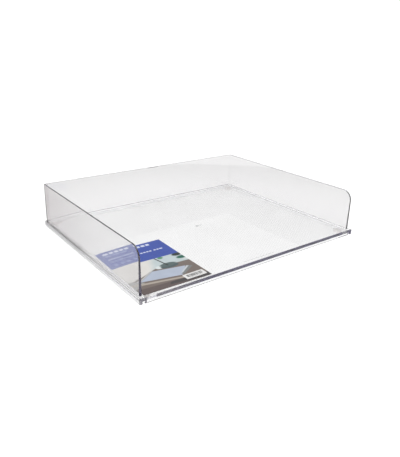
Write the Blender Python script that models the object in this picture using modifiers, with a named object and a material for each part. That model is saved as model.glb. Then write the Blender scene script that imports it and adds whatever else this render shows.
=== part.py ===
"""Clear stackable letter tray, landscape, open at the front.

Run with: blender --background --python part.py
Units are metres, +Z is up and +Y points to the closed rear of the tray.  The origin is on the
floor, under the middle of the tray's outline.  The tray is a flat floor panel on a low stepped
rim, with a U-shaped wall standing on three of its sides, four clear bumper feet, a printed
insert card lying on the floor panel and a small sticker on the card.
"""

import math

import bmesh
import bpy
from mathutils import Vector

# Driving dimensions
TRAY_WIDTH = 0.330
TRAY_DEPTH = 0.260
TRAY_HEIGHT = 0.060

# Base: a floor panel on a skirt, with a rib ring inside the skirt
FOOT_PROUD = 0.0009
BASE_HEIGHT = 0.0062
FLOOR_THICKNESS = 0.0031
SKIRT_THICKNESS = 0.0030
CHANNEL_WIDTH = 0.0033
RIB_THICKNESS = 0.0017
REAR_CORNER_RADIUS = 0.0038
FRONT_CORNER_RADIUS = 0.0004
EDGE_ROUNDING = 0.0002

# Small moulded details of the base
REST_PAD_LENGTH = 0.006
REST_PAD_HEIGHT = 0.0008
REST_PAD_Y = 0.080
PAD_OVERLAP = 0.0004
GATE_RADIUS = 0.0020
GATE_HEIGHT = 0.0005
WITNESS_LINE_LENGTH = 0.048
WITNESS_LINE_WIDTH = 0.0006
WITNESS_LINE_DEPTH = 0.00025
WITNESS_LINE_FROM_FRONT = 0.0065

# Wall
WALL_THICKNESS = 0.0032
WALL_INSET = 0.0023
WALL_FRONT_SETBACK = 0.0054
WALL_CORNER_RADIUS = 0.0020
WALL_INNER_CORNER_RADIUS = 0.0004
WALL_OUTER_DRAFT = 0.0008
WALL_INNER_DRAFT = 0.0007
WALL_TOP_FRONT_RADIUS = 0.0130
WALL_EDGE_ROUNDING = 0.0002
WALL_MARK_LENGTH = 0.018
WALL_MARK_DEPTH = 0.0004

# Feet
FOOT_RADIUS = 0.0055
FOOT_EDGE_RADIUS = 0.0016
FOOT_RIB_CLEARANCE = 0.0004
FOOT_FRONT_SETBACK = 0.0125

# Printed card and its sticker
CARD_WIDTH = 0.0845
CARD_LENGTH = 0.1122
CARD_THICKNESS = 0.0004
CARD_CENTRE = (-0.1144, -0.0700)
CARD_TURN = math.radians(-1.1)
LABEL_WIDTH = 0.0265
LABEL_LENGTH = 0.0106
LABEL_THICKNESS = 0.0002
LABEL_CENTRE = (-0.0894, -0.1175)
LABEL_TURN = math.radians(0.8)

# Clearance between pieces that touch
GAP = 0.0003
# How far a cutter reaches past the face it cuts through
CUT_PAST = 0.004

# Heights that follow from the sizes above
SKIRT_BOTTOM = FOOT_PROUD
FLOOR_TOP = SKIRT_BOTTOM + BASE_HEIGHT
FLOOR_UNDERSIDE = FLOOR_TOP - FLOOR_THICKNESS
CARD_BOTTOM = FLOOR_TOP + GAP
CARD_TOP = CARD_BOTTOM + CARD_THICKNESS

WALL_BOTTOM = FLOOR_TOP + GAP

# Half widths and y limits of the base's nested outlines
HALF_WIDTH = TRAY_WIDTH / 2
FRONT_Y = -TRAY_DEPTH / 2
REAR_Y = TRAY_DEPTH / 2
SKIRT_INNER_X = HALF_WIDTH - SKIRT_THICKNESS
SKIRT_INNER_Y = REAR_Y - SKIRT_THICKNESS
RIB_OUTER_X = SKIRT_INNER_X - CHANNEL_WIDTH
RIB_OUTER_Y = SKIRT_INNER_Y - CHANNEL_WIDTH
RIB_INNER_X = RIB_OUTER_X - RIB_THICKNESS
RIB_INNER_REAR_Y = RIB_OUTER_Y - RIB_THICKNESS
RIB_INNER_FRONT_Y = FRONT_Y + RIB_THICKNESS

PARTS = "letter_tray"
CUTTERS = "letter_tray_cutters"


def clear_scene():
    for obj in list(bpy.data.objects):
        bpy.data.objects.remove(obj)


def new_collection(name):
    collection = bpy.data.collections.new(name)
    bpy.context.scene.collection.children.link(collection)
    return collection


def plastic(name, color, roughness, alpha=1.0):
    """A Principled material; alpha below one shows the piece as see-through."""
    material = bpy.data.materials.new(name)
    material.use_nodes = True
    shader = material.node_tree.nodes["Principled BSDF"]
    shader.inputs["Base Color"].default_value = (*color, 1.0)
    shader.inputs["Roughness"].default_value = roughness
    shader.inputs["Metallic"].default_value = 0.0
    shader.inputs["Alpha"].default_value = alpha
    material.diffuse_color = (*color, alpha)
    return material


def corner_arc(centre, radius, start_degrees, steps=6):
    """Points of a quarter circle, anticlockwise from the start angle."""
    points = []
    for step in range(steps + 1):
        angle = math.radians(start_degrees + 90 * step / steps)
        points.append((centre[0] + radius * math.cos(angle), centre[1] + radius * math.sin(angle)))
    return points


def rounded_outline(half_width, front, rear, front_radius, rear_radius):
    """A rectangle, anticlockwise from its right front corner, with rounded corners."""
    outline = []
    for side, y, inward, radius, start_degrees in (
        (1, front, 1, front_radius, 270),
        (1, rear, -1, rear_radius, 0),
        (-1, rear, -1, rear_radius, 90),
        (-1, front, 1, front_radius, 180),
    ):
        centre = (side * (half_width - radius), y + inward * radius)
        outline += corner_arc(centre, radius, start_degrees)
    return outline


def u_outline(outer_half, outer_rear, inner_half, inner_rear, front, outer_radius, inner_radius):
    """A U that is open towards -Y: out along the outer side, back along the inner one."""
    outer = [(outer_half, front)]
    outer += corner_arc((outer_half - outer_radius, outer_rear - outer_radius), outer_radius, 0)
    outer += corner_arc((outer_radius - outer_half, outer_rear - outer_radius), outer_radius, 90)
    outer.append((-outer_half, front))
    inner = [(inner_half, front)]
    inner += corner_arc((inner_half - inner_radius, inner_rear - inner_radius), inner_radius, 0)
    inner += corner_arc((inner_radius - inner_half, inner_rear - inner_radius), inner_radius, 90)
    inner.append((-inner_half, front))
    return outer + inner[::-1]


def place(obj, collection, material=None):
    for other in list(obj.users_collection):
        other.objects.unlink(obj)
    collection.objects.link(obj)
    if material:
        obj.data.materials.clear()
        obj.data.materials.append(material)
    return obj


def make_cutter(obj, collection):
    place(obj, collection)
    obj.hide_render = True
    obj.display_type = "WIRE"
    return obj


def prism(name, outline, low, high):
    """A flat outline in XY, extruded from z = low to z = high, as a mesh object."""
    curve = bpy.data.curves.new(name, "CURVE")
    curve.dimensions = "2D"
    curve.fill_mode = "BOTH"
    curve.extrude = (high - low) / 2
    spline = curve.splines.new("POLY")
    spline.points.add(len(outline) - 1)
    for point, (x, y) in zip(spline.points, outline):
        point.co = (x, y, 0, 1)
    spline.use_cyclic_u = True
    guide = bpy.data.objects.new(name + "_outline", curve)
    guide.location.z = (low + high) / 2
    bpy.context.scene.collection.objects.link(guide)
    bpy.context.view_layer.update()
    mesh = bpy.data.meshes.new_from_object(guide.evaluated_get(bpy.context.evaluated_depsgraph_get()))
    solid = bpy.data.objects.new(name, mesh)
    solid.matrix_world = guide.matrix_world
    bpy.data.objects.remove(guide)
    shape = bmesh.new()
    shape.from_mesh(mesh)
    bmesh.ops.remove_doubles(shape, verts=shape.verts, dist=1e-6)
    bmesh.ops.dissolve_limit(shape, angle_limit=math.radians(1), verts=shape.verts, edges=shape.edges)
    bmesh.ops.recalc_face_normals(shape, faces=shape.faces)
    shape.to_mesh(mesh)
    shape.free()
    return solid


def lean_inwards(solid, travel):
    """Moves a prism's top ring in at the sides and the rear, so that its walls get a draft."""
    for vertex in solid.data.vertices:
        if vertex.co.z > 0:
            vertex.co.x -= travel * math.copysign(1, vertex.co.x)
            if vertex.co.y > 0:
                vertex.co.y -= travel


def block(name, low, high):
    """A box between two opposite corners, as a mesh object with unit scale."""
    mesh = bpy.data.meshes.new(name)
    shape = bmesh.new()
    bmesh.ops.create_cube(shape, size=1.0)
    bmesh.ops.scale(shape, vec=Vector(high) - Vector(low), verts=shape.verts)
    shape.to_mesh(mesh)
    shape.free()
    solid = bpy.data.objects.new(name, mesh)
    solid.location = (Vector(low) + Vector(high)) / 2
    return solid


def boolean(obj, other, operation):
    modifier = obj.modifiers.new(f"{operation.lower()}_{other.name}", "BOOLEAN")
    modifier.operation = operation
    modifier.solver = "EXACT"
    modifier.object = other


def round_edges(obj, width, segments):
    modifier = obj.modifiers.new("rounded_edges", "BEVEL")
    modifier.width = width
    modifier.segments = segments
    modifier.limit_method = "ANGLE"
    modifier.angle_limit = math.radians(40)


def shade_round(obj):
    obj.data.shade_smooth()
    obj.data.set_sharp_from_angle(angle=math.radians(35))


def make_tray_base(parts, cutters, material):
    """Floor panel, skirt and rib ring, with the stacking channel between skirt and ring."""
    outline = rounded_outline(HALF_WIDTH, FRONT_Y, REAR_Y, FRONT_CORNER_RADIUS, REAR_CORNER_RADIUS)
    base = prism("tray_base", outline, SKIRT_BOTTOM, FLOOR_TOP)

    below = SKIRT_BOTTOM - CUT_PAST
    channel_outline = u_outline(
        SKIRT_INNER_X, SKIRT_INNER_Y, RIB_OUTER_X, RIB_OUTER_Y, FRONT_Y - CUT_PAST,
        REAR_CORNER_RADIUS - SKIRT_THICKNESS, FRONT_CORNER_RADIUS,
    )
    channel = prism("stacking_channel", channel_outline, below, FLOOR_UNDERSIDE)
    boolean(base, make_cutter(channel, cutters), "DIFFERENCE")

    recess = block(
        "underside_recess",
        (-RIB_INNER_X, RIB_INNER_FRONT_Y, below),
        (RIB_INNER_X, RIB_INNER_REAR_Y, FLOOR_UNDERSIDE),
    )
    boolean(base, make_cutter(recess, cutters), "DIFFERENCE")
    round_edges(base, EDGE_ROUNDING, 2)

    # Low pads in the side channels, on which the wall of the tray below comes to rest.
    for side, sign in (("left", -1), ("right", 1)):
        near = sign * (RIB_OUTER_X - PAD_OVERLAP)
        far = sign * (SKIRT_INNER_X + PAD_OVERLAP)
        pad = block(
            f"rest_pad_{side}",
            (min(near, far), REST_PAD_Y - REST_PAD_LENGTH / 2, FLOOR_UNDERSIDE - REST_PAD_HEIGHT),
            (max(near, far), REST_PAD_Y + REST_PAD_LENGTH / 2, FLOOR_UNDERSIDE + PAD_OVERLAP),
        )
        boolean(base, make_cutter(pad, cutters), "UNION")

    # The moulding gate's stub, under the middle of the floor panel.
    mesh = bpy.data.meshes.new("gate_stub")
    shape = bmesh.new()
    bmesh.ops.create_cone(
        shape, cap_ends=True, segments=24, radius1=GATE_RADIUS * 0.8, radius2=GATE_RADIUS,
        depth=GATE_HEIGHT + PAD_OVERLAP,
    )
    shape.to_mesh(mesh)
    shape.free()
    stub = bpy.data.objects.new("gate_stub", mesh)
    stub.location.z = FLOOR_UNDERSIDE + (PAD_OVERLAP - GATE_HEIGHT) / 2
    boolean(base, make_cutter(stub, cutters), "UNION")

    # A fine witness line in the floor's top, parallel to the front edge.
    line_y = FRONT_Y + WITNESS_LINE_FROM_FRONT
    line = block(
        "witness_line",
        (-WITNESS_LINE_LENGTH / 2, line_y - WITNESS_LINE_WIDTH / 2, FLOOR_TOP - WITNESS_LINE_DEPTH),
        (WITNESS_LINE_LENGTH / 2, line_y + WITNESS_LINE_WIDTH / 2, FLOOR_TOP + CUT_PAST),
    )
    boolean(base, make_cutter(line, cutters), "DIFFERENCE")
    place(base, parts, material)
    shade_round(base)
    return base


def wall_envelope(name, inset, radius, draft, reach):
    """A block inset from the tray's outline, its faces leaning in by the draft over the wall's height.

    It reaches past the wall's foot, its top and the tray's front.
    """
    low = WALL_BOTTOM - reach
    high = TRAY_HEIGHT + reach
    slope = draft / (TRAY_HEIGHT - WALL_BOTTOM)
    half_width = HALF_WIDTH - inset + slope * reach
    rear = REAR_Y - inset + slope * reach
    outline = rounded_outline(half_width, FRONT_Y - reach, rear, radius, radius)
    envelope = prism(name, outline, low, high)
    lean_inwards(envelope, slope * (high - low))
    return envelope


def make_wall(parts, cutters, material):
    """Left, rear and right walls in one piece, with rounded top front corners."""
    wall = wall_envelope("wall_surround", WALL_INSET, WALL_CORNER_RADIUS, WALL_OUTER_DRAFT, CUT_PAST)
    space = wall_envelope(
        "wall_inside", WALL_INSET + WALL_THICKNESS, WALL_INNER_CORNER_RADIUS,
        -WALL_INNER_DRAFT, 2 * CUT_PAST,
    )
    boolean(wall, make_cutter(space, cutters), "DIFFERENCE")

    # The side profile, drawn in XY and stood up across the tray, keeps only what it covers.
    front = FRONT_Y + WALL_FRONT_SETBACK
    radius = WALL_TOP_FRONT_RADIUS
    profile = [(front, WALL_BOTTOM), (REAR_Y, WALL_BOTTOM), (REAR_Y, TRAY_HEIGHT)]
    profile += corner_arc((front + radius, TRAY_HEIGHT - radius), radius, 90, steps=12)
    side = prism("wall_side_profile", profile, -TRAY_WIDTH, TRAY_WIDTH)
    side.rotation_euler = (math.radians(90), 0, math.radians(90))
    boolean(wall, make_cutter(side, cutters), "INTERSECT")
    round_edges(wall, WALL_EDGE_ROUNDING, 3)

    # A shallow mark in the middle of the rear wall's top edge.
    mark = block(
        "wall_top_mark",
        (-WALL_MARK_LENGTH / 2, REAR_Y - WALL_INSET - 2 * WALL_THICKNESS, TRAY_HEIGHT - WALL_MARK_DEPTH),
        (WALL_MARK_LENGTH / 2, REAR_Y, TRAY_HEIGHT + CUT_PAST),
    )
    boolean(wall, make_cutter(mark, cutters), "DIFFERENCE")
    place(wall, parts, material)
    shade_round(wall)
    return wall


def make_foot(name, x, y, parts, material):
    """A clear bumper: a short turned disc, from its foot print up to the floor panel."""
    top = FLOOR_UNDERSIDE - GAP
    mesh = bpy.data.meshes.new(name)
    shape = bmesh.new()
    profile = [(0, top), (FOOT_RADIUS, top), (FOOT_RADIUS, FOOT_EDGE_RADIUS)]
    steps = 5
    for step in range(1, steps + 1):
        angle = math.radians(90 * step / steps)
        inset = FOOT_EDGE_RADIUS * (1 - math.cos(angle))
        drop = FOOT_EDGE_RADIUS * math.sin(angle)
        profile.append((FOOT_RADIUS - inset, FOOT_EDGE_RADIUS - drop))
    profile.append((0, 0))
    verts = [shape.verts.new((radius, 0, z)) for radius, z in profile]
    for start, end in zip(verts, verts[1:]):
        shape.edges.new((start, end))
    shape.to_mesh(mesh)
    shape.free()
    foot = bpy.data.objects.new(name, mesh)
    foot.location = (x, y, 0)
    screw = foot.modifiers.new("turned", "SCREW")
    screw.axis = "Z"
    screw.angle = math.radians(360)
    screw.steps = 32
    screw.render_steps = 32
    screw.use_merge_vertices = True
    screw.merge_threshold = 1e-6
    screw.use_smooth_shade = True
    place(foot, parts, material)
    return foot


def make_feet(parts, material):
    foot_x = RIB_INNER_X - FOOT_RIB_CLEARANCE - FOOT_RADIUS
    rear_y = RIB_INNER_REAR_Y - FOOT_RIB_CLEARANCE - FOOT_RADIUS
    front_y = FRONT_Y + FOOT_FRONT_SETBACK
    for end, y in (("front", front_y), ("rear", rear_y)):
        for side, x in (("left", -foot_x), ("right", foot_x)):
            make_foot(f"foot_{end}_{side}", x, y, parts, material)


def make_sheet(name, width, length, thickness, centre, turn, bottom, parts, material):
    """A flat printed sheet, turned a little about the vertical as it lies."""
    sheet = block(name, (-width / 2, -length / 2, 0), (width / 2, length / 2, thickness))
    sheet.location = (centre[0], centre[1], bottom + thickness / 2)
    sheet.rotation_euler.z = turn
    return place(sheet, parts, material)


def main():
    clear_scene()
    parts = new_collection(PARTS)
    cutters = new_collection(CUTTERS)

    clear_base = plastic("clear_base", (0.93, 0.94, 0.95), 0.05, alpha=0.30)
    clear_wall = plastic("clear_wall", (0.93, 0.94, 0.95), 0.05, alpha=0.30)
    clear_foot = plastic("clear_foot", (0.88, 0.89, 0.92), 0.30, alpha=0.50)
    card_print = plastic("card_print", (0.07, 0.11, 0.38), 0.45)
    label_print = plastic("label_print", (0.88, 0.88, 0.88), 0.50)

    make_tray_base(parts, cutters, clear_base)
    make_wall(parts, cutters, clear_wall)
    make_feet(parts, clear_foot)
    make_sheet(
        "insert_card", CARD_WIDTH, CARD_LENGTH, CARD_THICKNESS, CARD_CENTRE, CARD_TURN, CARD_BOTTOM, parts,
        card_print,
    )
    make_sheet(
        "barcode_label", LABEL_WIDTH, LABEL_LENGTH, LABEL_THICKNESS, LABEL_CENTRE, LABEL_TURN,
        CARD_TOP + GAP, parts, label_print,
    )


main()
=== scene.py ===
"""Looks of the clear stackable letter tray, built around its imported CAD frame.

Lengths are metres in the frame's axes: +Z up, +Y towards the closed rear, origin on the surface
the feet stand on.  Each CAD node is replaced by one finer piece of the same outer size.
"""

import math

import bmesh
import bpy
from mathutils import Matrix, Vector


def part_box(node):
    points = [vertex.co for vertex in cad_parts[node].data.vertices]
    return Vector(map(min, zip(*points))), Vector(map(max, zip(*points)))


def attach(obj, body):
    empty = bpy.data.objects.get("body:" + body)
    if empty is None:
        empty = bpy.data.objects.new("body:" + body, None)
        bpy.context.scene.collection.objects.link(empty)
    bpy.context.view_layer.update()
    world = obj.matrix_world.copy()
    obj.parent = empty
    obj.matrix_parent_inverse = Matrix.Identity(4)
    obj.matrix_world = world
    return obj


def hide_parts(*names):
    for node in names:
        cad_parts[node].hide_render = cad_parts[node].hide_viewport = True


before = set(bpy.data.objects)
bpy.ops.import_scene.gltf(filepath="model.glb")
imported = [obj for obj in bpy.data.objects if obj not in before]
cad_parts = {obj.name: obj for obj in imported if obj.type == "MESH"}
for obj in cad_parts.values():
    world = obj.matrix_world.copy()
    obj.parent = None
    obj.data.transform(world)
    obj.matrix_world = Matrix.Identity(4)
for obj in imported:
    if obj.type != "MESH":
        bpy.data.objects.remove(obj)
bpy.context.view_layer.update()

BODY = "root"
MM = 0.001

# Base
FLOOR_THICKNESS = 3.1 * MM
SKIRT_THICKNESS = 3.0 * MM
CHANNEL_WIDTH = 3.3 * MM
RIB_THICKNESS = 1.7 * MM
BASE_REAR_RADIUS = 3.8 * MM
BASE_FRONT_RADIUS = 0.4 * MM
BASE_EDGE_RADIUS = 0.15 * MM
BASE_EDGE_STEPS = 4
REST_PAD = (3.8 * MM, 6.0 * MM, 0.8 * MM)           # width, length, height
REST_PAD_Y = 80 * MM
REST_PAD_OVERLAP = 0.4 * MM
GATE_RADIUS = 2.0 * MM
GATE_HEIGHT = 0.5 * MM
GATE_STEPS = 48
FLOW_MARK_LENGTH = 5.0 * MM
FLOW_MARK_WIDTH = 0.7 * MM
FLOW_MARK_HEIGHT = 0.15 * MM
FLOW_MARK_GAP = 0.6 * MM
GATE_OVERLAP = 0.2 * MM
WITNESS_LINE = (48 * MM, 0.6 * MM, 0.12 * MM)       # length, width, depth
WITNESS_LINE_FROM_FRONT = 6.5 * MM

# Wall
WALL_THICKNESS = 3.2 * MM
WALL_OUTER_DRAFT = 0.8 * MM
WALL_INNER_DRAFT = 0.7 * MM
WALL_CORNER_RADIUS = 2.0 * MM
WALL_INNER_CORNER_RADIUS = 0.4 * MM
WALL_TOP_FRONT_RADIUS = 13.0 * MM
WALL_TOP_FRONT_STEPS = 20
WALL_EDGE_RADIUS = 0.2 * MM
WALL_EDGE_STEPS = 5

# Parting mark in the rear wall's top: a shallow notch, over faint painted shade
WALL_MARK_X = 7 * MM
WALL_MARK_LENGTH = 18 * MM
WALL_MARK_DEPTH = 0.4 * MM
WALL_MARK_SHADE = 1.5 * MM
WALL_MARK_SHARE = 0.25

# Feet
FOOT_EDGE_RADIUS = 1.6 * MM
FOOT_EDGE_STEPS = 12
FOOT_TOP_RADIUS = 0.3 * MM
FOOT_TOP_STEPS = 4
FOOT_TURN_STEPS = 64
MERGE_DISTANCE = 0.001 * MM

# Printed card and sticker
CARD_SIZE = (84.5 * MM, 112.2 * MM, 0.36 * MM)      # width, length, thickness
CARD_CORNER_RADIUS = 0.8 * MM
CARD_TURN = math.radians(-1.1)
CARD_LIFT = 0.5 * MM
CARD_LIFT_FROM = 0.3
LABEL_SIZE = (26.5 * MM, 10.6 * MM, 0.12 * MM)
LABEL_CORNER_RADIUS = 1.0 * MM
LABEL_TURN = math.radians(0.8)
SHEET_STEPS = 14

# How far a cutter reaches past the face it cuts through
CUT_PAST = 4.0 * MM

# How far an edge has to turn to be rounded, and to stay sharp in the shading
BEVEL_ANGLE = math.radians(40)
SHARP_ANGLE = math.radians(50)
SHEET_SHARP_ANGLE = math.radians(40)


# ---------------------------------------------------------------- mesh helpers

def corner_arc(centre, radius, start_degrees, steps=12):
    """Points of a quarter circle, anticlockwise from the start angle."""
    points = []
    for step in range(steps + 1):
        angle = math.radians(start_degrees + 90 * step / steps)
        points.append((centre[0] + radius * math.cos(angle), centre[1] + radius * math.sin(angle)))
    return points


def rounded_outline(half_width, front, rear, front_radius, rear_radius):
    """A rectangle, anticlockwise from its right front corner, with rounded corners."""
    outline = []
    for side, y, inward, radius, start_degrees in (
        (1, front, 1, front_radius, 270),
        (1, rear, -1, rear_radius, 0),
        (-1, rear, -1, rear_radius, 90),
        (-1, front, 1, front_radius, 180),
    ):
        centre = (side * (half_width - radius), y + inward * radius)
        outline += corner_arc(centre, radius, start_degrees)
    return outline


def u_outline(outer_half, outer_rear, inner_half, inner_rear, front, outer_radius, inner_radius):
    """A U that is open towards -Y: out along the outer side, back along the inner one."""
    sides = []
    for half, rear, radius in (
        (outer_half, outer_rear, outer_radius),
        (inner_half, inner_rear, inner_radius),
    ):
        side = [(half, front)]
        side += corner_arc((half - radius, rear - radius), radius, 0)
        side += corner_arc((radius - half, rear - radius), radius, 90)
        side.append((-half, front))
        sides.append(side)
    return sides[0] + sides[1][::-1]


def circle_outline(radius, steps):
    turns = [math.tau * step / steps for step in range(steps)]
    return [(radius * math.cos(turn), radius * math.sin(turn)) for turn in turns]


def link(obj):
    bpy.context.scene.collection.objects.link(obj)
    return obj


def object_from(shape, name):
    """A new object in the scene with the mesh of a bmesh, which is freed."""
    mesh = bpy.data.meshes.new(name)
    shape.to_mesh(mesh)
    shape.free()
    return link(bpy.data.objects.new(name, mesh))


def prism(name, outline, low, high):
    """An outline in XY, extruded straight up from z = low to z = high."""
    shape = bmesh.new()
    bottom = shape.faces.new([shape.verts.new((x, y, low)) for x, y in outline])
    raised = bmesh.ops.extrude_face_region(shape, geom=[bottom])
    top = [item for item in raised["geom"] if isinstance(item, bmesh.types.BMVert)]
    bmesh.ops.translate(shape, vec=(0, 0, high - low), verts=top)
    bmesh.ops.recalc_face_normals(shape, faces=shape.faces)
    return object_from(shape, name)


def block(name, low, high):
    """A cutter: the box between two opposite corners."""
    outline = [(low[0], low[1]), (high[0], low[1]), (high[0], high[1]), (low[0], high[1])]
    return prism(name, outline, low[2], high[2])


def combine(obj, other, operation):
    """Adds a Boolean with a helper object, which bake_modifiers removes afterwards."""
    modifier = obj.modifiers.new(operation.lower(), "BOOLEAN")
    modifier.operation = operation
    modifier.solver = "EXACT"
    modifier.object = other


def bevel(obj, width, segments):
    """Adds rounding to the sharp edges."""
    modifier = obj.modifiers.new("rounded_edges", "BEVEL")
    modifier.width = width
    modifier.segments = segments
    modifier.limit_method = "ANGLE"
    modifier.angle_limit = BEVEL_ANGLE
    modifier.use_clamp_overlap = True


def bake_modifiers(obj):
    """Replaces the mesh by its evaluated form and removes the helper objects it used."""
    helpers = [m.object for m in obj.modifiers if m.type == "BOOLEAN"]
    graph = bpy.context.evaluated_depsgraph_get()
    graph.update()
    mesh = bpy.data.meshes.new_from_object(obj.evaluated_get(graph))
    obj.modifiers.clear()
    obj.data = mesh
    for helper in helpers:
        bpy.data.objects.remove(helper)
    return obj


def smooth(obj):
    """Smooth shading in which the large flat faces stay flat and only the roundings curve."""
    obj.data.shade_smooth()
    obj.data.set_sharp_from_angle(angle=SHARP_ANGLE)
    weighted = obj.modifiers.new("flat_faces_stay_flat", "WEIGHTED_NORMAL")
    weighted.keep_sharp = True
    return bake_modifiers(obj)


def finish_piece(obj, node, material):
    """Gives a piece its material, and says what it rides on, replaces and belongs to."""
    obj.data.materials.clear()
    obj.data.materials.append(material)
    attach(obj, BODY)
    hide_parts(node)
    return obj


# ---------------------------------------------------------------- node helpers

class Nodes:
    """Short names for the few shader nodes that the materials are made from."""

    def __init__(self, tree):
        self.tree = tree
        self.tree.nodes.clear()

    def add(self, kind, **settings):
        node = self.tree.nodes.new(kind)
        for name, value in settings.items():
            setattr(node, name, value)
        return node

    def join(self, source, target):
        self.tree.links.new(source, target)

    def feed(self, socket, value):
        """Sets a socket from a number, a colour or another socket."""
        if isinstance(value, bpy.types.NodeSocket):
            self.join(value, socket)
        elif isinstance(value, tuple) and len(value) == 3 and socket.type == "RGBA":
            socket.default_value = (*value, 1.0)
        else:
            socket.default_value = value

    def object_place(self):
        """Where a point of the surface is, from its object's origin."""
        return self.add("ShaderNodeTexCoord").outputs["Object"]

    def split(self, vector):
        """The X, Y and Z of a vector."""
        node = self.add("ShaderNodeSeparateXYZ")
        self.join(vector, node.inputs[0])
        return node.outputs["X"], node.outputs["Y"], node.outputs["Z"]

    def maths(self, operation, *values):
        node = self.add("ShaderNodeMath", operation=operation)
        for socket, value in zip(node.inputs, values):
            self.feed(socket, value)
        return node.outputs[0]

    def product(self, first, *others):
        """Masks multiplied: one where all of them are one."""
        for other in others:
            first = self.maths("MULTIPLY", first, other)
        return first

    def largest(self, first, *others):
        """The largest of several masks: one where any of them is one."""
        for other in others:
            first = self.maths("MAXIMUM", first, other)
        return first

    def above(self, value, limit):
        return self.maths("GREATER_THAN", value, limit)

    def below(self, value, limit):
        return self.maths("LESS_THAN", value, limit)

    def within(self, value, low, high):
        return self.maths("COMPARE", value, (low + high) / 2, (high - low) / 2)

    def unsigned(self, value):
        return self.maths("ABSOLUTE", value)

    def away(self, value, middle):
        """How far a value is from the middle, either way."""
        return self.unsigned(self.maths("SUBTRACT", value, middle))

    def diagonal(self, a, b):
        squares = self.maths("ADD", self.maths("POWER", a, 2), self.maths("POWER", b, 2))
        return self.maths("SQRT", squares)

    def ramp(self, value, low, high, out_low=0.0, out_high=1.0):
        """A value mapped smoothly from low..high to out_low..out_high."""
        node = self.add("ShaderNodeMapRange", interpolation_type="SMOOTHSTEP")
        self.feed(node.inputs["Value"], value)
        self.feed(node.inputs["From Min"], low)
        self.feed(node.inputs["From Max"], high)
        self.feed(node.inputs["To Min"], out_low)
        self.feed(node.inputs["To Max"], out_high)
        return node.outputs["Result"]

    def noise(self, vector, scale, detail=2.0, roughness=0.5):
        node = self.add("ShaderNodeTexNoise")
        self.join(vector, node.inputs["Vector"])
        node.inputs["Scale"].default_value = scale
        node.inputs["Detail"].default_value = detail
        node.inputs["Roughness"].default_value = roughness
        return node.outputs["Fac"]

    def mapped(self, vector, scale=(1, 1, 1), rotation=(0, 0, 0)):
        node = self.add("ShaderNodeMapping")
        self.join(vector, node.inputs["Vector"])
        node.inputs["Rotation"].default_value = rotation
        node.inputs["Scale"].default_value = scale
        return node.outputs["Vector"]

    def mix(self, factor, a, b):
        node = self.add("ShaderNodeMix", data_type="RGBA")
        self.feed(node.inputs["Factor"], factor)
        self.feed(node.inputs["A"], a)
        self.feed(node.inputs["B"], b)
        return node.outputs["Result"]

    def bump(self, height, distance, strength=1.0, normal=None):
        node = self.add("ShaderNodeBump")
        self.join(height, node.inputs["Height"])
        node.inputs["Distance"].default_value = distance
        node.inputs["Strength"].default_value = strength
        if normal is not None:
            self.join(normal, node.inputs["Normal"])
        return node.outputs["Normal"]

    def mix_shader(self, factor, a, b):
        node = self.add("ShaderNodeMixShader")
        self.feed(node.inputs[0], factor)
        self.join(a, node.inputs[1])
        self.join(b, node.inputs[2])
        return node.outputs[0]

    def transparent(self, tint):
        node = self.add("ShaderNodeBsdfTransparent")
        self.feed(node.inputs["Color"], tint)
        return node.outputs[0]


def new_material(name):
    material = bpy.data.materials.new(name)
    material.use_nodes = True
    return material


# ---------------------------------------------------------------- materials

# The clear plastic: how it bends light, and how it swallows light that runs along the sheet
PLASTIC_IOR = 1.59
EDGE_COLOR = (0.30, 0.26, 0.42)
BASE_DENSITY = 1.5
WALL_DENSITY = 11.0
FOOT_DENSITY = 4.0

BASE_ROUGHNESS = 0.05
WALL_ROUGHNESS = 0.02
FOOT_ROUGHNESS = 0.30
HAIRLINE_ROUGHNESS = 0.10
GLUE_ROUGHNESS = 0.6
RIB_ROUGHNESS = 0.5

# The faint unevenness of its faces, and the diamond grain pressed into the floor panel
WAVE_SCALE = 28
WAVE_HEIGHT = 0.004 * MM
HAIRLINE_SCALE = (900, 30, 200)
HAIRLINE_TURN = 0.5
HAIRLINE_SHARE = (0.64, 0.72)
GRAIN_PITCH = 3.0 * MM
GRAIN_TURNS = (math.radians(17), math.radians(57))
GRAIN_HEIGHT = 0.02 * MM
GRAIN_SHADE = 0.82
GRAIN_PATCH_SCALE = 14
GRAIN_PATCH_SHARE = (0.3, 0.75)
GRAIN_PATCH_LEAST = 0.35
WAVE_TEXTURE_FACTOR = 20    # radians that a wave texture of scale one turns in a metre

# How much light a face lets through, and the dark colours painted as shade on edges, tops, joints and
# the left wall's rear
BASE_TINT = (0.965, 0.965, 0.965)
WALL_TINT = (0.845, 0.840, 0.840)
FOOT_TINT = (0.93, 0.90, 0.885)
PASS_TINT = (0.985, 0.985, 0.985)
JOINT_TINT = (0.965, 0.965, 0.965)
FRONT_EDGE_LEFT_SHADE = (0.078, 0.072, 0.088)
FRONT_EDGE_SHADE = (0.018, 0.016, 0.036)
RIGHT_FRONT_EDGE_SHADE = (0.03, 0.03, 0.03)
GATE_TINT = (0.30, 0.30, 0.31)
GLUE_TINT = (0.78, 0.755, 0.745)
SHADE_TINT = (0.04, 0.038, 0.038)
LEFT_REAR_SHADE = (0.70, 0.672, 0.672)
TOP_EDGE_SHADE = (0.08, 0.076, 0.08)

# How far a mask reaches past the faces that it picks out
PAST_FACE = 0.1 * MM
JUST_PAST_FACE = 0.05 * MM
PAST_JOINT = 0.02 * MM

# Spots of the feet, and the rib ring
GLUE_BORDER = 0.2 * MM
RING_WIDTH = 20 * MM
RING_FROM_FRONT = 4 * MM

# Front edge: a strip of painted shade, left out where a foot is close behind it
FRONT_STRIP = 1.45 * MM
FRONT_STRIP_SLANT = 0.0018
FRONT_RIM_HEIGHT = 0.45 * MM
FOOT_GLOW = 5.5 * MM
RIGHT_FOOT_GLOW_BORDER = 2 * MM
RIGHT_FOOT_SHARE = 0.85
FRONT_EDGE_PALE_X = (-135 * MM, -75 * MM)

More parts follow.
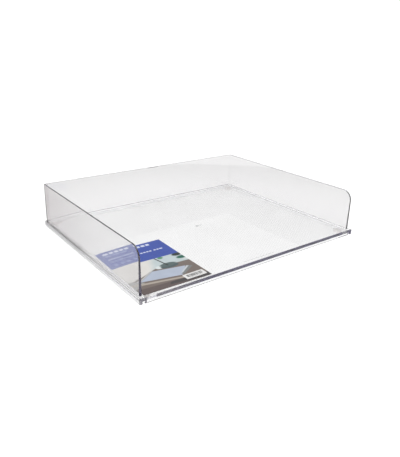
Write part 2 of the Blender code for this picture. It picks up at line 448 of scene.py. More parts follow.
# Joint at the foot of the left wall, measured across from the wall's outer face
JOINT_SHADE_Y = (-115 * MM, 55 * MM)
JOINT_SHADE_INSIDE = (4.0 * MM, 2.2 * MM)
JOINT_SHADE_OUTSIDE = 0.3 * MM
JOINT_LINE_OUT = 1.3 * MM
JOINT_LINE_HALF = (0.45 * MM, 0.95 * MM)
JOINT_LINE_STRENGTH = (0.6, 0.45)
SKIRT_SHADE_DEPTH = (6.0 * MM, 2.6 * MM)
SKIRT_SHADE_LEAST = 0.3
SKIRT_SHADE_STRENGTH = (0.12, 0.5)

# Wall: painted shade on its rear left part, its tops and its right front edge
LEFT_REAR_SHADE_Y = (-60 * MM, 140 * MM)
SIDE_TOP_DEPTH = 0.35 * MM
REAR_TOP_DEPTH = 0.6 * MM
RIGHT_TOP_SHARE = 0.75
REAR_TOP_SHARE = 0.2
RIGHT_FRONT_DEPTH = 0.35 * MM
RIGHT_FRONT_FROM = 0.3

# Gate mark
GATE_BORDER = 0.1 * MM
FLOW_MARK_BORDER = 1 * MM


def glue_patches(n, place):
    """One on the underside of the floor panel where the feet are stuck on, zero elsewhere."""
    x, y, z = place
    low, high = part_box("foot_front_left")
    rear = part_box("foot_rear_left")[1]
    panel_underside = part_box("tray_base")[1].z - FLOOR_THICKNESS
    radius = (high.x - low.x) / 2
    foot_x = -(low.x + high.x) / 2
    front_y, rear_y = low.y + radius, rear.y - radius
    dx = n.maths("SUBTRACT", n.unsigned(x), foot_x)
    dy = n.maths("SUBTRACT", n.away(y, (front_y + rear_y) / 2), (rear_y - front_y) / 2)
    inside = n.ramp(n.diagonal(dx, dy), radius - GLUE_BORDER, radius + GLUE_BORDER, 1.0, 0.0)
    return n.product(inside, n.below(z, panel_underside + PAST_FACE))


def rib_faces(n, place):
    """One on the faces of the rib ring and the skirt, zero on the panel and at the front."""
    x, y, z = place
    low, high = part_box("tray_base")
    low_down = n.below(z, high.z - FLOOR_THICKNESS - PAST_FACE)
    on_ring = n.above(n.largest(n.unsigned(x), y), high.y - RING_WIDTH)
    return n.product(low_down, on_ring, n.above(y, low.y + RING_FROM_FRONT))


def front_edge_shade(n, place):
    """Painted shade: one on the front edge of the floor panel and the ends of skirt and rib, zero
    elsewhere.
    """
    x, y, z = place
    low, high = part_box("tray_base")
    slant = n.maths("MULTIPLY", x, FRONT_STRIP_SLANT)
    at_front = n.below(n.maths("SUBTRACT", y, slant), low.y + FRONT_STRIP)
    on_panel = n.above(z, high.z - FLOOR_THICKNESS)
    on_rim = n.below(z, low.z + FRONT_RIM_HEIGHT)
    on_leg = n.above(n.unsigned(x), high.x - SKIRT_THICKNESS - CHANNEL_WIDTH - RIB_THICKNESS)
    foot_low, foot_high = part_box("foot_front_left")
    foot_x = (foot_low.x + foot_high.x) / 2
    off_left_foot = n.above(n.away(x, foot_x), FOOT_GLOW)
    border = FOOT_GLOW - RIGHT_FOOT_GLOW_BORDER
    off_right_foot = n.ramp(n.away(x, -foot_x), border, FOOT_GLOW, RIGHT_FOOT_SHARE)
    edge = n.largest(n.product(on_panel, off_left_foot, off_right_foot), on_leg, on_rim)
    return n.product(at_front, edge)


def front_edge_shade_color(n, place):
    """The painted shade on the front edge is a little paler near its left end."""
    return n.mix(n.ramp(place[0], *FRONT_EDGE_PALE_X), FRONT_EDGE_LEFT_SHADE, FRONT_EDGE_SHADE)


def joint_shade(n, place):
    """How strongly the foot of the left wall and the skirt below it are shaded.

    The shade lies under the wall, in a line just outside it and on the skirt's outer face, and it
    grows towards the rear.
    """
    x, y, z = place
    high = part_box("tray_base")[1]
    wall_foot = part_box("wall_surround")[1].x
    out = n.maths("MULTIPLY", x, -1.0)
    fade = n.ramp(y, *JOINT_SHADE_Y)

    inner_from, inner_to = JOINT_SHADE_INSIDE
    under_wall = n.ramp(out, wall_foot - inner_from, wall_foot - inner_to)
    under_wall = n.product(under_wall, fade, n.below(out, wall_foot + JOINT_SHADE_OUTSIDE))
    least, growth = JOINT_LINE_STRENGTH
    line = n.ramp(n.away(out, wall_foot + JOINT_LINE_OUT), *JOINT_LINE_HALF, 1.0, 0.0)
    line = n.product(line, n.maths("MULTIPLY_ADD", fade, growth, least))
    on_top = n.above(z, high.z - JUST_PAST_FACE)
    shade = n.product(on_top, n.largest(under_wall, line))

    lower, upper = SKIRT_SHADE_DEPTH
    least, growth = SKIRT_SHADE_STRENGTH
    on_skirt = n.product(
        n.above(out, high.x - PAST_FACE),
        n.ramp(z, high.z - lower, high.z - upper, SKIRT_SHADE_LEAST, 1.0),
        n.maths("MULTIPLY_ADD", fade, growth, least),
    )
    return n.largest(shade, on_skirt)


def gate_mark(n, place):
    """One on the gate's stub and its short flow mark, zero elsewhere."""
    x, y, z = place
    low_down = n.below(z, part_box("tray_base")[1].z - FLOOR_THICKNESS - JUST_PAST_FACE)
    across = n.below(n.unsigned(y), GATE_RADIUS + GATE_BORDER)
    along = n.below(n.unsigned(x), GATE_RADIUS + FLOW_MARK_LENGTH + FLOW_MARK_BORDER)
    return n.product(low_down, across, along)


def right_joint(n, place):
    """One where the right wall's foot and the panel under it face each other, zero elsewhere."""
    x, y, z = place
    low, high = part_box("wall_surround")
    panel_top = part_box("tray_base")[1].z
    in_gap = n.within(z, panel_top - PAST_JOINT, low.z + PAST_JOINT)
    under_wall = n.within(x, high.x - WALL_THICKNESS, high.x)
    return n.product(in_gap, under_wall, n.within(y, low.y, high.y))


def left_rear_shade(n, place):
    """Painted shade that grows along the left wall from its front to its rear, zero elsewhere."""
    x, y = place[:2]
    on_left = n.below(x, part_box("wall_surround")[0].x + 2 * WALL_THICKNESS)
    return n.product(on_left, n.ramp(y, *LEFT_REAR_SHADE_Y))


def top_edge_shade(n, place):
    """How strongly painted shade darkens the wall's flat top: most on the left and in the parting mark.
    """
    x, y, z = place
    low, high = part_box("wall_surround")
    on_left = n.below(x, low.x + WALL_THICKNESS)
    on_right = n.above(x, high.x - WALL_THICKNESS)
    on_rear = n.above(y, high.y - WALL_THICKNESS)
    sides = n.largest(on_left, n.product(on_right, RIGHT_TOP_SHARE))
    sides = n.product(n.above(z, high.z - SIDE_TOP_DEPTH), sides)
    in_mark = n.below(n.away(x, WALL_MARK_X), WALL_MARK_LENGTH / 2)
    rear = n.product(n.above(z, high.z - REAR_TOP_DEPTH), on_rear, n.largest(in_mark, REAR_TOP_SHARE))
    marked = n.product(n.above(z, high.z - WALL_MARK_SHADE), on_rear, in_mark, WALL_MARK_SHARE)
    return n.largest(sides, rear, marked)


def right_front_edge_shade(n, place):
    """Painted shade: one on the front edge of the right wall, round its upper corner too, and zero
    elsewhere.
    """
    x, y, z = place
    low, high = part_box("wall_surround")
    radius = WALL_TOP_FRONT_RADIUS
    forward = n.largest(n.maths("SUBTRACT", low.y + radius, y), 0.0)
    upward = n.largest(n.maths("SUBTRACT", z, high.z - radius), 0.0)
    on_edge = n.above(n.diagonal(forward, upward), radius - RIGHT_FRONT_DEPTH)
    return n.product(on_edge, n.above(forward, RIGHT_FRONT_FROM * radius), n.above(x, 0.0))


def diamond_grain(n, where):
    """Two crossing sets of fine lines, stronger in some patches than in others."""
    lines = []
    for turn in GRAIN_TURNS:
        wave = n.add("ShaderNodeTexWave", wave_type="BANDS", bands_direction="X", wave_profile="SIN")
        n.join(n.mapped(where, rotation=(0, 0, turn)), wave.inputs["Vector"])
        wave.inputs["Scale"].default_value = math.tau / GRAIN_PITCH / WAVE_TEXTURE_FACTOR
        wave.inputs["Distortion"].default_value = 0.0
        lines.append(wave.outputs["Fac"])
    cloud = n.noise(where, GRAIN_PATCH_SCALE)
    return n.product(*lines, n.ramp(cloud, *GRAIN_PATCH_SHARE, GRAIN_PATCH_LEAST, 1.0))


def clear_plastic(name, tint, density, roughness, of_base=False, of_wall=False):
    """Clear moulded plastic: glass-like, faintly uneven, and dark along the sheet."""
    material = new_material(name)
    n = Nodes(material.node_tree)
    where = n.object_place()
    place = n.split(where)

    # Faint unevenness of the moulded faces, and fine hairline scuffs.
    normal = n.bump(n.noise(where, WAVE_SCALE, detail=1.0), WAVE_HEIGHT)
    along_hairs = n.mapped(where, scale=HAIRLINE_SCALE, rotation=(0, 0, HAIRLINE_TURN))
    hairlines = n.ramp(n.noise(along_hairs, 1.0, detail=3.0), *HAIRLINE_SHARE)
    rough = n.maths("MULTIPLY_ADD", hairlines, HAIRLINE_ROUGHNESS, roughness)
    color = tint
    tints = []
    if of_base:
        grain = diamond_grain(n, where)
        glue = glue_patches(n, place)
        normal = n.bump(grain, GRAIN_HEIGHT, normal=normal)
        tints = [
            (grain, tuple(GRAIN_SHADE * channel for channel in tint)),
            # painted shade on the panel's front edge, paler towards its left end
            (front_edge_shade(n, place), front_edge_shade_color(n, place)),
            (glue, GLUE_TINT),
            (gate_mark(n, place), GATE_TINT),
            (joint_shade(n, place), SHADE_TINT),
        ]
        ribs = n.product(rib_faces(n, place), RIB_ROUGHNESS)
        rough = n.largest(rough, n.product(glue, GLUE_ROUGHNESS), ribs)
    if of_wall:
        tints = [
            # painted shade on the left wall, growing towards its rear
            (left_rear_shade(n, place), LEFT_REAR_SHADE),
            # painted shade on the wall's flat tops and in the parting mark
            (top_edge_shade(n, place), TOP_EDGE_SHADE),
            # painted shade on the right wall's front edge
            (right_front_edge_shade(n, place), RIGHT_FRONT_EDGE_SHADE),
        ]
    for mask, other_tint in tints:
        color = n.mix(mask, color, other_tint)

    glass = n.add("ShaderNodeBsdfPrincipled")
    n.feed(glass.inputs["Base Color"], color)
    n.join(rough, glass.inputs["Roughness"])
    glass.inputs["IOR"].default_value = PLASTIC_IOR
    glass.inputs["Transmission Weight"].default_value = 1.0
    n.join(normal, glass.inputs["Normal"])

    # The two faces of the right joint don't refract: the real wall and panel are one moulding there.
    # Shadow rays and the light that the floor sends back pass straight through the plastic.
    seen = n.mix_shader(right_joint(n, place), glass.outputs[0], n.transparent(JOINT_TINT))
    path = n.add("ShaderNodeLightPath")
    clear = n.transparent(PASS_TINT)
    lit = n.mix_shader(path.outputs["Is Shadow Ray"], seen, clear)
    lit = n.mix_shader(path.outputs["Is Diffuse Ray"], lit, clear)

    depth = n.add("ShaderNodeVolumeAbsorption")
    n.feed(depth.inputs["Color"], EDGE_COLOR)
    depth.inputs["Density"].default_value = density
    output = n.add("ShaderNodeOutputMaterial")
    n.join(lit, output.inputs["Surface"])
    n.join(depth.outputs[0], output.inputs["Volume"])
    return material


class Print(Nodes):
    """A printed sheet: flat shapes laid over each other, placed in mm from its lower left corner."""

    def __init__(self, tree, width, length, color):
        super().__init__(tree)
        self.where = self.object_place()
        x, y = self.split(self.where)[:2]
        self.x = self.maths("MULTIPLY_ADD", x, 1 / MM, width / MM / 2)
        self.y = self.maths("MULTIPLY_ADD", y, 1 / MM, length / MM / 2)
        self.color = color

    def lay(self, color, *masks):
        """Paints a colour over what is there, where all the masks are one."""
        self.color = self.mix(self.product(*masks), self.color, color)

    def side(self, x0, y0, x1, y1, soft=0.25):
        """One on the left of the line from (x0, y0) to (x1, y1), zero on its right."""
        length = math.hypot(x1 - x0, y1 - y0)
        nx, ny = (y0 - y1) / length, (x1 - x0) / length
        across = self.maths("MULTIPLY_ADD", self.y, ny, self.maths("MULTIPLY", self.x, nx))
        offset = nx * x0 + ny * y0
        return self.ramp(across, offset - soft, offset + soft)

    def patch(self, *corners, soft=0.25):
        """One inside a convex outline, whose corners run anticlockwise."""
        ends = zip(corners, corners[1:] + corners[:1])
        return self.product(*[self.side(*start, *end, soft) for start, end in ends])

    def band(self, value, low, high, soft):
        """One where a value lies between low and high."""
        half = (high - low) / 2
        return self.ramp(self.away(value, (low + high) / 2), half - soft, half + soft, 1.0, 0.0)

    def bar(self, x0, y0, x1, y1, soft=0.2):
        """One inside an upright rectangle."""
        return self.product(self.band(self.x, x0, x1, soft), self.band(self.y, y0, y1, soft))

    def oval(self, x, y, half_width, half_height, soft=0.08):
        """One inside an upright ellipse; soft is a share of its size."""
        dx = self.maths("DIVIDE", self.maths("SUBTRACT", self.x, x), half_width)
        dy = self.maths("DIVIDE", self.maths("SUBTRACT", self.y, y), half_height)
        return self.ramp(self.diagonal(dx, dy), 1 - soft, 1 + soft, 1.0, 0.0)

    def blocks(self, starts_and_ends, low, high, soft=0.3):
        """A row of upright blocks, as a stand-in for a line of print."""
        bars = [self.bar(start, low, end, high, soft) for start, end in starts_and_ends]
        return self.largest(*bars)


def word_blocks(start, widths, gap):
    """The starts and ends of blocks of these widths, one after the other."""
    spans = []
    for width in widths:
        spans.append((start, start + width))
        start += width + gap
    return spans


# Paper: its fibre and its faint cloudiness
FIBRE_SCALE = 900
FIBRE_ROUGHNESS = 0.06
FIBRE_HEIGHT = 0.02 * MM
FIBRE_STRENGTH = 0.6
CLOUD_SCALE = 60
CLOUD_SHADE = 0.03
PAPER_SHARE = (0.3, 0.7)

CARD_ROUGHNESS = 0.38
CARD_GLOSS = 0.15
LABEL_ROUGHNESS = 0.5
LABEL_GLOSS = 0.2

# Inks of the card's picture and band
ROOM = (0.56, 0.545, 0.52)
ROOM_SHADE = (0.40, 0.46, 0.47)
DESK = (0.145, 0.118, 0.105)
DESK_GLARE = (0.27, 0.27, 0.26)
DESK_EDGE = (0.33, 0.29, 0.25)
DESK_FRONT = (0.100, 0.078, 0.074)
DESK_SHADOW = (0.055, 0.05, 0.05)
TRAY_SIDE = (0.38, 0.38, 0.38)
TRAY_SHEET = (0.34, 0.38, 0.46)
FOLDER = (0.16, 0.17, 0.17)
FOLDER_SHEET = (0.42, 0.45, 0.48)
LAMP_FOOT_GLARE = (0.52, 0.56, 0.56)
LAMP_FOOT = (0.06, 0.085, 0.09)
LAMP_FOOT_TOP = (0.075, 0.105, 0.105)
LAMP_STEM = (0.03, 0.035, 0.035)
LAMP_SHADE = (0.07, 0.20, 0.10)
PLANT_TOP = (0.02, 0.03, 0.03)
PLANT = (0.02, 0.10, 0.07)
PLANT_POT = (0.50, 0.52, 0.51)
BAND = (0.040, 0.070, 0.290)
BAND_WHITE = (0.50, 0.54, 0.66)
BAND_PALE = (0.22, 0.26, 0.46)
BAND_MIDDLE = (0.24, 0.28, 0.47)
BAND_DOT = (0.16, 0.20, 0.44)
BAND_HEIGHT = 45            # mm, as all places in a print are

LABEL_WHITE = (0.60, 0.595, 0.585)
LABEL_BLACK = (0.03, 0.03, 0.032)
LABEL_GREY = (0.20, 0.20, 0.20)
BAR_PITCH = 1.5
BAR_WIDTH = (0.35, 0.75)


def paper_surface(n, roughness, gloss):
    """Coated card or paper under a print: faint fibre in its relief and its gloss."""
    fibre = n.noise(n.mapped(n.where, scale=(1, 1.6, 1)), FIBRE_SCALE, detail=4.0, roughness=0.6)
    shade = n.ramp(n.noise(n.where, CLOUD_SCALE), *PAPER_SHARE, 1 - CLOUD_SHADE, 1 + CLOUD_SHADE)
    tone = n.add("ShaderNodeMix", data_type="RGBA", blend_type="MULTIPLY")
    tone.inputs["Factor"].default_value = 1.0
    n.feed(tone.inputs["A"], n.color)
    n.feed(tone.inputs["B"], shade)
    smoothest, roughest = roughness - FIBRE_ROUGHNESS, roughness + FIBRE_ROUGHNESS
    shader = n.add("ShaderNodeBsdfPrincipled")
    n.join(tone.outputs["Result"], shader.inputs["Base Color"])
    n.join(n.ramp(fibre, *PAPER_SHARE, smoothest, roughest), shader.inputs["Roughness"])
    shader.inputs["Specular IOR Level"].default_value = gloss
    n.join(n.bump(fibre, FIBRE_HEIGHT, FIBRE_STRENGTH), shader.inputs["Normal"])
    output = n.add("ShaderNodeOutputMaterial")
    n.join(shader.outputs[0], output.inputs["Surface"])


def card_print():
    """A generic insert: a blue band with blank blocks over a plain picture of a desk."""
    material = new_material("card_print")
    width, length = CARD_SIZE[:2]
    n = Print(material.node_tree, width, length, ROOM)
    right, top = width / MM, length / MM
    past_left, past_right, past_low, past_top = -5, right + 5, -5, top + 5

    # The picture: a pale room and a desk.
    n.lay(ROOM_SHADE, n.side(48, 70, 34, 40, 6.0))
    desk = (past_left, past_low), (past_right, past_low), (past_right, 44), (44, 46), (past_left, 24)
    n.lay(DESK, n.patch(*desk, soft=0.8))
    n.lay(DESK_GLARE, n.patch((past_left, 8), (14, 22), (2, 30), (past_left, 27), soft=1.0))
    n.lay(DESK_EDGE, n.patch((past_left, 20), (58, 9), (58, 12), (past_left, 24), soft=0.8))
    front = (past_left, past_low), (past_right, past_low), (past_right, 8), (58, 9), (past_left, 20)
    n.lay(DESK_FRONT, n.patch(*front, soft=0.6))
    n.lay(DESK_SHADOW, n.patch((34, 4), (86, -1), (88, 9), (62, 9), (38, 10), soft=1.0))

    # On the desk: a sheet tray, a folder, a lamp and a plant.
    n.lay(TRAY_SIDE, n.patch((6.5, 24.8), (10, 24.8), (34, 41), (30, 41), soft=0.4))
    n.lay(TRAY_SHEET, n.patch((10, 24.8), (57, 15.8), (72, 33), (33, 40), soft=0.5))
    n.lay(FOLDER, n.patch((57, 18), (61, 17), (79, 29), (74, 33), soft=0.5))
    n.lay(FOLDER_SHEET, n.patch((58, 20.5), (60, 20), (75, 31), (73, 32.5), soft=0.4))
    n.lay(LAMP_FOOT_GLARE, n.oval(45, 44, 5, 3.6, 0.2))
    n.lay(LAMP_FOOT, n.oval(57, 42, 11.5, 4.4, 0.12))
    n.lay(LAMP_FOOT_TOP, n.oval(57, 46, 10.5, 4.2, 0.2))
    n.lay(LAMP_STEM, n.patch((55.2, 44), (57.0, 44), (52.2, 67), (50.4, 67), soft=0.3))
    n.lay(LAMP_SHADE, n.oval(58, 65, 3.4, 2.6, 0.3))
    n.lay(PLANT_TOP, n.oval(80, 64, 6.5, 4.0, 0.2))
    n.lay(PLANT, n.oval(81, 55, 6.5, 3.6, 0.25))
    n.lay(PLANT_POT, n.oval(84, 48.5, 5.0, 1.9, 0.3))

    # The band, with blank blocks where a card like this has its lines of print.
    n.lay(BAND, n.bar(past_left, top - BAND_HEIGHT, past_right, past_top, 0.25))
    heading = word_blocks(6, (6.0, 4.5, 4.5, 4.5, 5.0), 1.6) + word_blocks(43, (4.5, 4.5, 5.0, 4.5), 1.6)
    sizes = word_blocks(45, (3, 3, 3, 3), 1.0) + word_blocks(63, (3, 3, 4), 1.0)
    for ink, blocks, below_top, height in (
        (BAND_WHITE, heading, 9.0, 4.6),
        (BAND_PALE, word_blocks(6, (7, 9, 7), 1.5), 14.0, 2.0),
        (BAND_MIDDLE, word_blocks(6, (15, 13), 2.0), 23.4, 2.8),
        (BAND_WHITE, sizes, 25.4, 2.4),
        (BAND_PALE, word_blocks(7, (2, 2, 6, 2, 6), 2.0), 29.6, 2.0),
    ):
        n.lay(ink, n.blocks(blocks, top - below_top, top - below_top + height))
    for x in (8, 15.5, 23, 30.5):
        n.lay(BAND_DOT, n.oval(x, top - 37.5, 2.2, 2.2, 0.15))

    paper_surface(n, CARD_ROUGHNESS, CARD_GLOSS)
    return material


def label_print():
    """A white sticker with a band of upright bars over a row of small blocks."""
    material = new_material("label_print")
    n = Print(material.node_tree, *LABEL_SIZE[:2], LABEL_WHITE)
    bars = n.add("ShaderNodeTexWhiteNoise", noise_dimensions="1D")
    place = n.maths("MULTIPLY", n.x, 1 / BAR_PITCH)
    n.join(n.maths("FLOOR", place), bars.inputs["W"])
    bar_width = n.ramp(bars.outputs["Value"], 0.0, 1.0, *BAR_WIDTH)
    dark = n.below(n.maths("FRACT", place), bar_width)
    n.lay(LABEL_BLACK, n.bar(3.4, 3.4, 23.2, 8.4, 0.12), dark)
    n.lay(LABEL_GREY, n.blocks(word_blocks(5, (1.1,) * 9, 0.8), 1.7, 2.7, 0.15))
    paper_surface(n, LABEL_ROUGHNESS, LABEL_GLOSS)
    return material


# ---------------------------------------------------------------- pieces

def make_base(material):
    """Floor panel with its skirt, rib ring and stacking channel, under fine rounded edges."""
    low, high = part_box("tray_base")
    half, front, rear = high.x, low.y, high.y
    underside = high.z - FLOOR_THICKNESS
    below = low.z - CUT_PAST
    outline = rounded_outline(half, front, rear, BASE_FRONT_RADIUS, BASE_REAR_RADIUS)
    base = prism("clear_base", outline, low.z, high.z)
    skirt_half, skirt_rear = half - SKIRT_THICKNESS, rear - SKIRT_THICKNESS
    rib_half, rib_rear = skirt_half - CHANNEL_WIDTH, skirt_rear - CHANNEL_WIDTH
    channel = u_outline(
        skirt_half, skirt_rear, rib_half, rib_rear, front - CUT_PAST,
        BASE_REAR_RADIUS - SKIRT_THICKNESS, BASE_FRONT_RADIUS,
    )
    combine(base, prism("channel", channel, below, underside), "DIFFERENCE")
    recess = rounded_outline(
        rib_half - RIB_THICKNESS, front + RIB_THICKNESS, rib_rear - RIB_THICKNESS,
        BASE_FRONT_RADIUS, BASE_FRONT_RADIUS,
    )
    combine(base, prism("recess", recess, below, underside), "DIFFERENCE")

    pad_width, pad_length, pad_height = REST_PAD
    middle = (skirt_half + rib_half) / 2
    for side in (-1, 1):
        pad = block(
            "rest_pad",
            (side * middle - pad_width / 2, REST_PAD_Y - pad_length / 2, underside - pad_height),
            (side * middle + pad_width / 2, REST_PAD_Y + pad_length / 2, underside + REST_PAD_OVERLAP),
        )
        combine(base, pad, "UNION")
    line_length, line_width, line_depth = WITNESS_LINE
    line_y = front + WITNESS_LINE_FROM_FRONT
    line = block(
        "witness_line",
        (-line_length / 2, line_y - line_width / 2, high.z - line_depth),
        (line_length / 2, line_y + line_width / 2, high.z + CUT_PAST),
    )
    combine(base, line, "DIFFERENCE")
    bake_modifiers(base)
    bevel(base, BASE_EDGE_RADIUS, BASE_EDGE_STEPS)
    bake_modifiers(base)

    # The moulding gate's stub and the flow mark beside it, under the middle of the panel.
    inside = underside + GATE_OVERLAP
    stub = prism("gate_stub", circle_outline(GATE_RADIUS, GATE_STEPS), underside - GATE_HEIGHT, inside)
    combine(base, stub, "UNION")
    mark_start = GATE_RADIUS + FLOW_MARK_GAP
    mark = block(
        "flow_mark",
        (mark_start, -FLOW_MARK_WIDTH / 2, underside - FLOW_MARK_HEIGHT),
        (mark_start + FLOW_MARK_LENGTH, FLOW_MARK_WIDTH / 2, inside),
    )
    combine(base, mark, "UNION")
    bake_modifiers(base)
    smooth(base)
    return finish_piece(base, "tray_base", material)


def wall_envelope(name, half, rear, front, low, high, radius, draft, reach):
    """A block whose side and rear faces lean in by the draft between z = low and z = high."""
    slope = draft / (high - low)
    spread = slope * reach
    envelope = prism(
        name, rounded_outline(half + spread, front - reach, rear + spread, radius, radius),
        low - reach, high + reach,
    )
    travel = slope * (high - low + 2 * reach)
    for vertex in envelope.data.vertices:
        if vertex.co.z > high:
            vertex.co.x -= travel * math.copysign(1, vertex.co.x)
            if vertex.co.y > 0:
                vertex.co.y -= travel
    return envelope


def make_wall(material):
    """Left, rear and right walls in one sheet, with rounded top front corners."""
    low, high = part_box("wall_surround")
    half, front, rear = high.x, low.y, high.y
    wall = wall_envelope(
        "clear_wall", half, rear, front, low.z, high.z,
        WALL_CORNER_RADIUS, WALL_OUTER_DRAFT, CUT_PAST,
    )
    inside = wall_envelope(
        "inside", half - WALL_THICKNESS, rear - WALL_THICKNESS, front, low.z, high.z,
        WALL_INNER_CORNER_RADIUS, -WALL_INNER_DRAFT, 2 * CUT_PAST,
    )
    combine(wall, inside, "DIFFERENCE")
    radius = WALL_TOP_FRONT_RADIUS
    past_rear = rear + CUT_PAST
    below = low.z - CUT_PAST / 2
    profile = [(front, below), (past_rear, below), (past_rear, high.z)]
    profile += corner_arc((front + radius, high.z - radius), radius, 90, WALL_TOP_FRONT_STEPS)
    side = prism("side_profile", profile, -2 * half, 2 * half)
    quarter = math.radians(90)
    side.matrix_world = Matrix.Rotation(quarter, 4, "Z") @ Matrix.Rotation(quarter, 4, "X")
    bpy.context.view_layer.update()
    combine(wall, side, "INTERSECT")
    bake_modifiers(wall)
    bevel(wall, WALL_EDGE_RADIUS, WALL_EDGE_STEPS)
    bake_modifiers(wall)
    mark = block(
        "top_mark",
        (WALL_MARK_X - WALL_MARK_LENGTH / 2, rear - 3 * WALL_THICKNESS, high.z - WALL_MARK_DEPTH),
        (WALL_MARK_X + WALL_MARK_LENGTH / 2, past_rear, high.z + CUT_PAST),
    )
    combine(wall, mark, "DIFFERENCE")
    # The wall is cut off at its foot last, so that its lower edges stay sharp.
    past_foot = block(
        "past_foot", (-2 * half, front - CUT_PAST, low.z - CUT_PAST), (2 * half, past_rear, low.z),
    )
    combine(wall, past_foot, "DIFFERENCE")
    bake_modifiers(wall)
    smooth(wall)
    return finish_piece(wall, "wall_surround", material)


def make_bumper(node, material):
    """A soft clear bumper: a turned disc with a flat foot print and rounded rims."""
    low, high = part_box(node)
    centre = (low + high) / 2
    radius = (high.x - low.x) / 2
    profile = [(0.0, low.z)]
    for z, inward, rounding, start_degrees, steps in (
        (low.z, 1, FOOT_EDGE_RADIUS, 270, FOOT_EDGE_STEPS),
        (high.z, -1, FOOT_TOP_RADIUS, 0, FOOT_TOP_STEPS),
    ):
        profile += corner_arc((radius - rounding, z + inward * rounding), rounding, start_degrees, steps)
    profile.append((0.0, high.z))
    shape = bmesh.new()
    points = [shape.verts.new((r, 0, z)) for r, z in reversed(profile)]
    edges = [shape.edges.new(pair) for pair in zip(points, points[1:])]
    bmesh.ops.spin(
        shape, geom=points + edges, cent=(0, 0, 0), axis=(0, 0, 1), angle=math.tau,
        steps=FOOT_TURN_STEPS, use_merge=True,
    )
    bmesh.ops.remove_doubles(shape, verts=shape.verts, dist=MERGE_DISTANCE)
    bmesh.ops.recalc_face_normals(shape, faces=shape.faces)
    foot = object_from(shape, node.replace("foot", "bumper"))
    foot.location = (centre.x, centre.y, 0)
    bpy.context.view_layer.update()
    smooth(foot)
    return finish_piece(foot, node, material)


def card_lift(x, y):
    """How far the card's rear right corner has sprung up, at a place measured from its middle."""
    along = max(0.0, x / CARD_SIZE[0] + y / CARD_SIZE[1] - CARD_LIFT_FROM)
    return CARD_LIFT * (along / (1 - CARD_LIFT_FROM)) ** 2


def lie_flat(x, y):
    return 0.0


def make_sheet(name, node, size, radius, turn, material, lift):
    """A thin sheet with rounded corners; lift says how far each place stands above its flat one."""
    low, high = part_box(node)
    centre = (low + high) / 2
    width, length, thickness = size
    outline = rounded_outline(width / 2, -length / 2, length / 2, radius, radius)
    sheet = prism(name, outline, 0, thickness)
    shape = bmesh.new()
    shape.from_mesh(sheet.data)
    for normal, half in ((Vector((1, 0, 0)), width / 2), (Vector((0, 1, 0)), length / 2)):
        for step in range(1, SHEET_STEPS):
            place = normal * (half * (2 * step / SHEET_STEPS - 1))
            geometry = shape.verts[:] + shape.edges[:] + shape.faces[:]
            bmesh.ops.bisect_plane(shape, geom=geometry, plane_co=place, plane_no=normal)
    for vertex in shape.verts:
        vertex.co.z += lift(vertex.co.x, vertex.co.y)
    shape.to_mesh(sheet.data)
    shape.free()
    sheet.location = (centre.x, centre.y, low.z)
    sheet.rotation_euler.z = turn
    bpy.context.view_layer.update()
    sheet.data.shade_smooth()
    sheet.data.set_sharp_from_angle(angle=SHEET_SHARP_ANGLE)
    # Shadow and diffuse rays pass the sheet, as they pass the clear plastic round it.
    sheet.visible_shadow = False
    sheet.visible_diffuse = False
    return finish_piece(sheet, node, material)


def make_pieces():
    make_base(clear_plastic("clear_base", BASE_TINT, BASE_DENSITY, BASE_ROUGHNESS, of_base=True))
    make_wall(clear_plastic("clear_wall", WALL_TINT, WALL_DENSITY, WALL_ROUGHNESS, of_wall=True))
    foot_plastic = clear_plastic("clear_foot", FOOT_TINT, FOOT_DENSITY, FOOT_ROUGHNESS)
    for node in ("foot_front_left", "foot_front_right", "foot_rear_left", "foot_rear_right"):
        make_bumper(node, foot_plastic)
    make_sheet(
        "printed_card", "insert_card", CARD_SIZE, CARD_CORNER_RADIUS, CARD_TURN,
        card_print(), card_lift,
    )
    make_sheet(
        "barcode_sticker", "barcode_label", LABEL_SIZE, LABEL_CORNER_RADIUS, LABEL_TURN,
        label_print(), lie_flat,
    )


# ---------------------------------------------------------------- stage

FLOOR_RADIUS = 30.0
FLOOR_STEPS = 96
FLOOR_DROP = 0.02 * MM
TABLE_CENTRE = (0.015, -0.028)
TABLE_RADIUS = 0.362
TABLE_BORDER = 0.006
TABLE_RIM_FROM = 0.20
FLOOR_WHITE = (0.90, 0.90, 0.90)
FLOOR_PALE = (0.79, 0.79, 0.79)
TABLE_PALE = (0.792, 0.792, 0.792)
TABLE_RIM = (0.712, 0.712, 0.712)


def make_floor():
    """A plain pale floor, white where it is seen directly and darker through the clear plastic.

    The round table top that the tray stands on grows a little darker towards its rim.
    """
    shape = bmesh.new()
    bmesh.ops.create_circle(shape, cap_ends=True, radius=FLOOR_RADIUS, segments=FLOOR_STEPS)
    floor = object_from(shape, "floor")
    floor.location = (*TABLE_CENTRE, -FLOOR_DROP)
    material = new_material("pale_floor")
    n = Nodes(material.node_tree)
    reach = n.add("ShaderNodeVectorMath", operation="LENGTH")
    n.join(n.object_place(), reach.inputs[0])
    reach = reach.outputs["Value"]
    on_table = n.ramp(reach, TABLE_RADIUS - TABLE_BORDER, TABLE_RADIUS + TABLE_BORDER, 1.0, 0.0)
    table = n.mix(n.ramp(reach, TABLE_RIM_FROM, TABLE_RADIUS), TABLE_PALE, TABLE_RIM)
    through_plastic = n.mix(on_table, FLOOR_PALE, table)
    path = n.add("ShaderNodeLightPath")
    surface = n.add("ShaderNodeBsdfDiffuse")
    color = n.mix(path.outputs["Is Camera Ray"], through_plastic, FLOOR_WHITE)
    n.join(color, surface.inputs["Color"])
    output = n.add("ShaderNodeOutputMaterial")
    n.join(surface.outputs[0], output.inputs["Surface"])
    floor.data.materials.append(material)


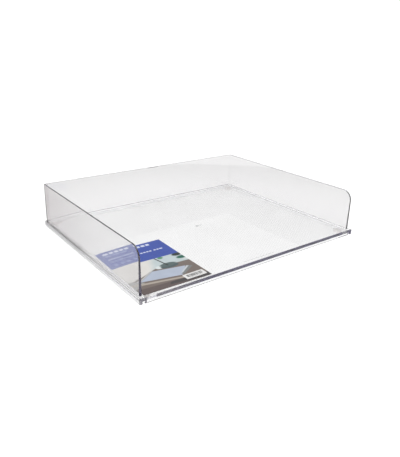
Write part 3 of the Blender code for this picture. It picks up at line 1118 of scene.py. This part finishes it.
# Light from all round: how bright it is, and between which degrees above the horizon it changes
HORIZON_LIGHT = 1.12
UPPER_LIGHT = 0.72
CEILING_LIGHT = 1.55
HORIZON_DEGREES = (8, 15)
CEILING_DEGREES = (42, 60)


def heights(degrees):
    """The Z of unit vectors at these degrees above the horizon."""
    return [math.sin(math.radians(angle)) for angle in degrees]


def make_world():
    """Soft studio light: pale at the horizon, dimmer half way up, and a bright ceiling."""
    world = bpy.data.worlds.new("studio")
    bpy.context.scene.world = world
    world.use_nodes = True
    n = Nodes(world.node_tree)
    up = n.split(n.add("ShaderNodeTexCoord").outputs["Generated"])[2]
    wall = n.ramp(up, *heights(HORIZON_DEGREES), HORIZON_LIGHT, UPPER_LIGHT)
    ceiling = n.ramp(up, *heights(CEILING_DEGREES), 0.0, CEILING_LIGHT)
    background = n.add("ShaderNodeBackground")
    background.inputs["Color"].default_value = (1.0, 1.0, 1.0, 1.0)
    n.join(n.maths("ADD", wall, ceiling), background.inputs["Strength"])
    output = n.add("ShaderNodeOutputWorld")
    n.join(background.outputs[0], output.inputs["Surface"])


CAMERA_PLACE = (-0.36933, -0.49525, 0.24954)
CAMERA_AZIMUTH = math.radians(-37.101)
CAMERA_ELEVATION = math.radians(21.814)
CAMERA_ROLL = math.radians(1.227)
CAMERA_LENS = 38.289
CAMERA_CLIP = (0.01, 100)
LIGHT_BOUNCES = 48
DIFFUSE_BOUNCES = 4


def make_camera():
    """A camera that looks down on the tray from its front left."""
    camera = link(bpy.data.objects.new("camera", bpy.data.cameras.new("camera")))
    camera.data.lens = CAMERA_LENS
    camera.data.clip_start, camera.data.clip_end = CAMERA_CLIP
    turn = Matrix.Rotation(CAMERA_AZIMUTH, 4, "Z")
    tilt = Matrix.Rotation(math.radians(90) - CAMERA_ELEVATION, 4, "X")
    roll = Matrix.Rotation(CAMERA_ROLL, 4, "Z")
    camera.matrix_world = Matrix.Translation(CAMERA_PLACE) @ turn @ tilt @ roll
    bpy.context.scene.camera = camera


def set_light_paths():
    """Clear sheets are seen edge on, so light has to be followed through many inner reflections."""
    bpy.context.scene.view_settings.view_transform = "Standard"
    cycles = bpy.context.scene.cycles
    cycles.max_bounces = LIGHT_BOUNCES
    cycles.diffuse_bounces = DIFFUSE_BOUNCES
    cycles.glossy_bounces = LIGHT_BOUNCES
    cycles.transmission_bounces = LIGHT_BOUNCES
    cycles.transparent_max_bounces = LIGHT_BOUNCES


make_camera()
make_world()
make_floor()
make_pieces()
set_light_paths()
bpy.context.view_layer.update()
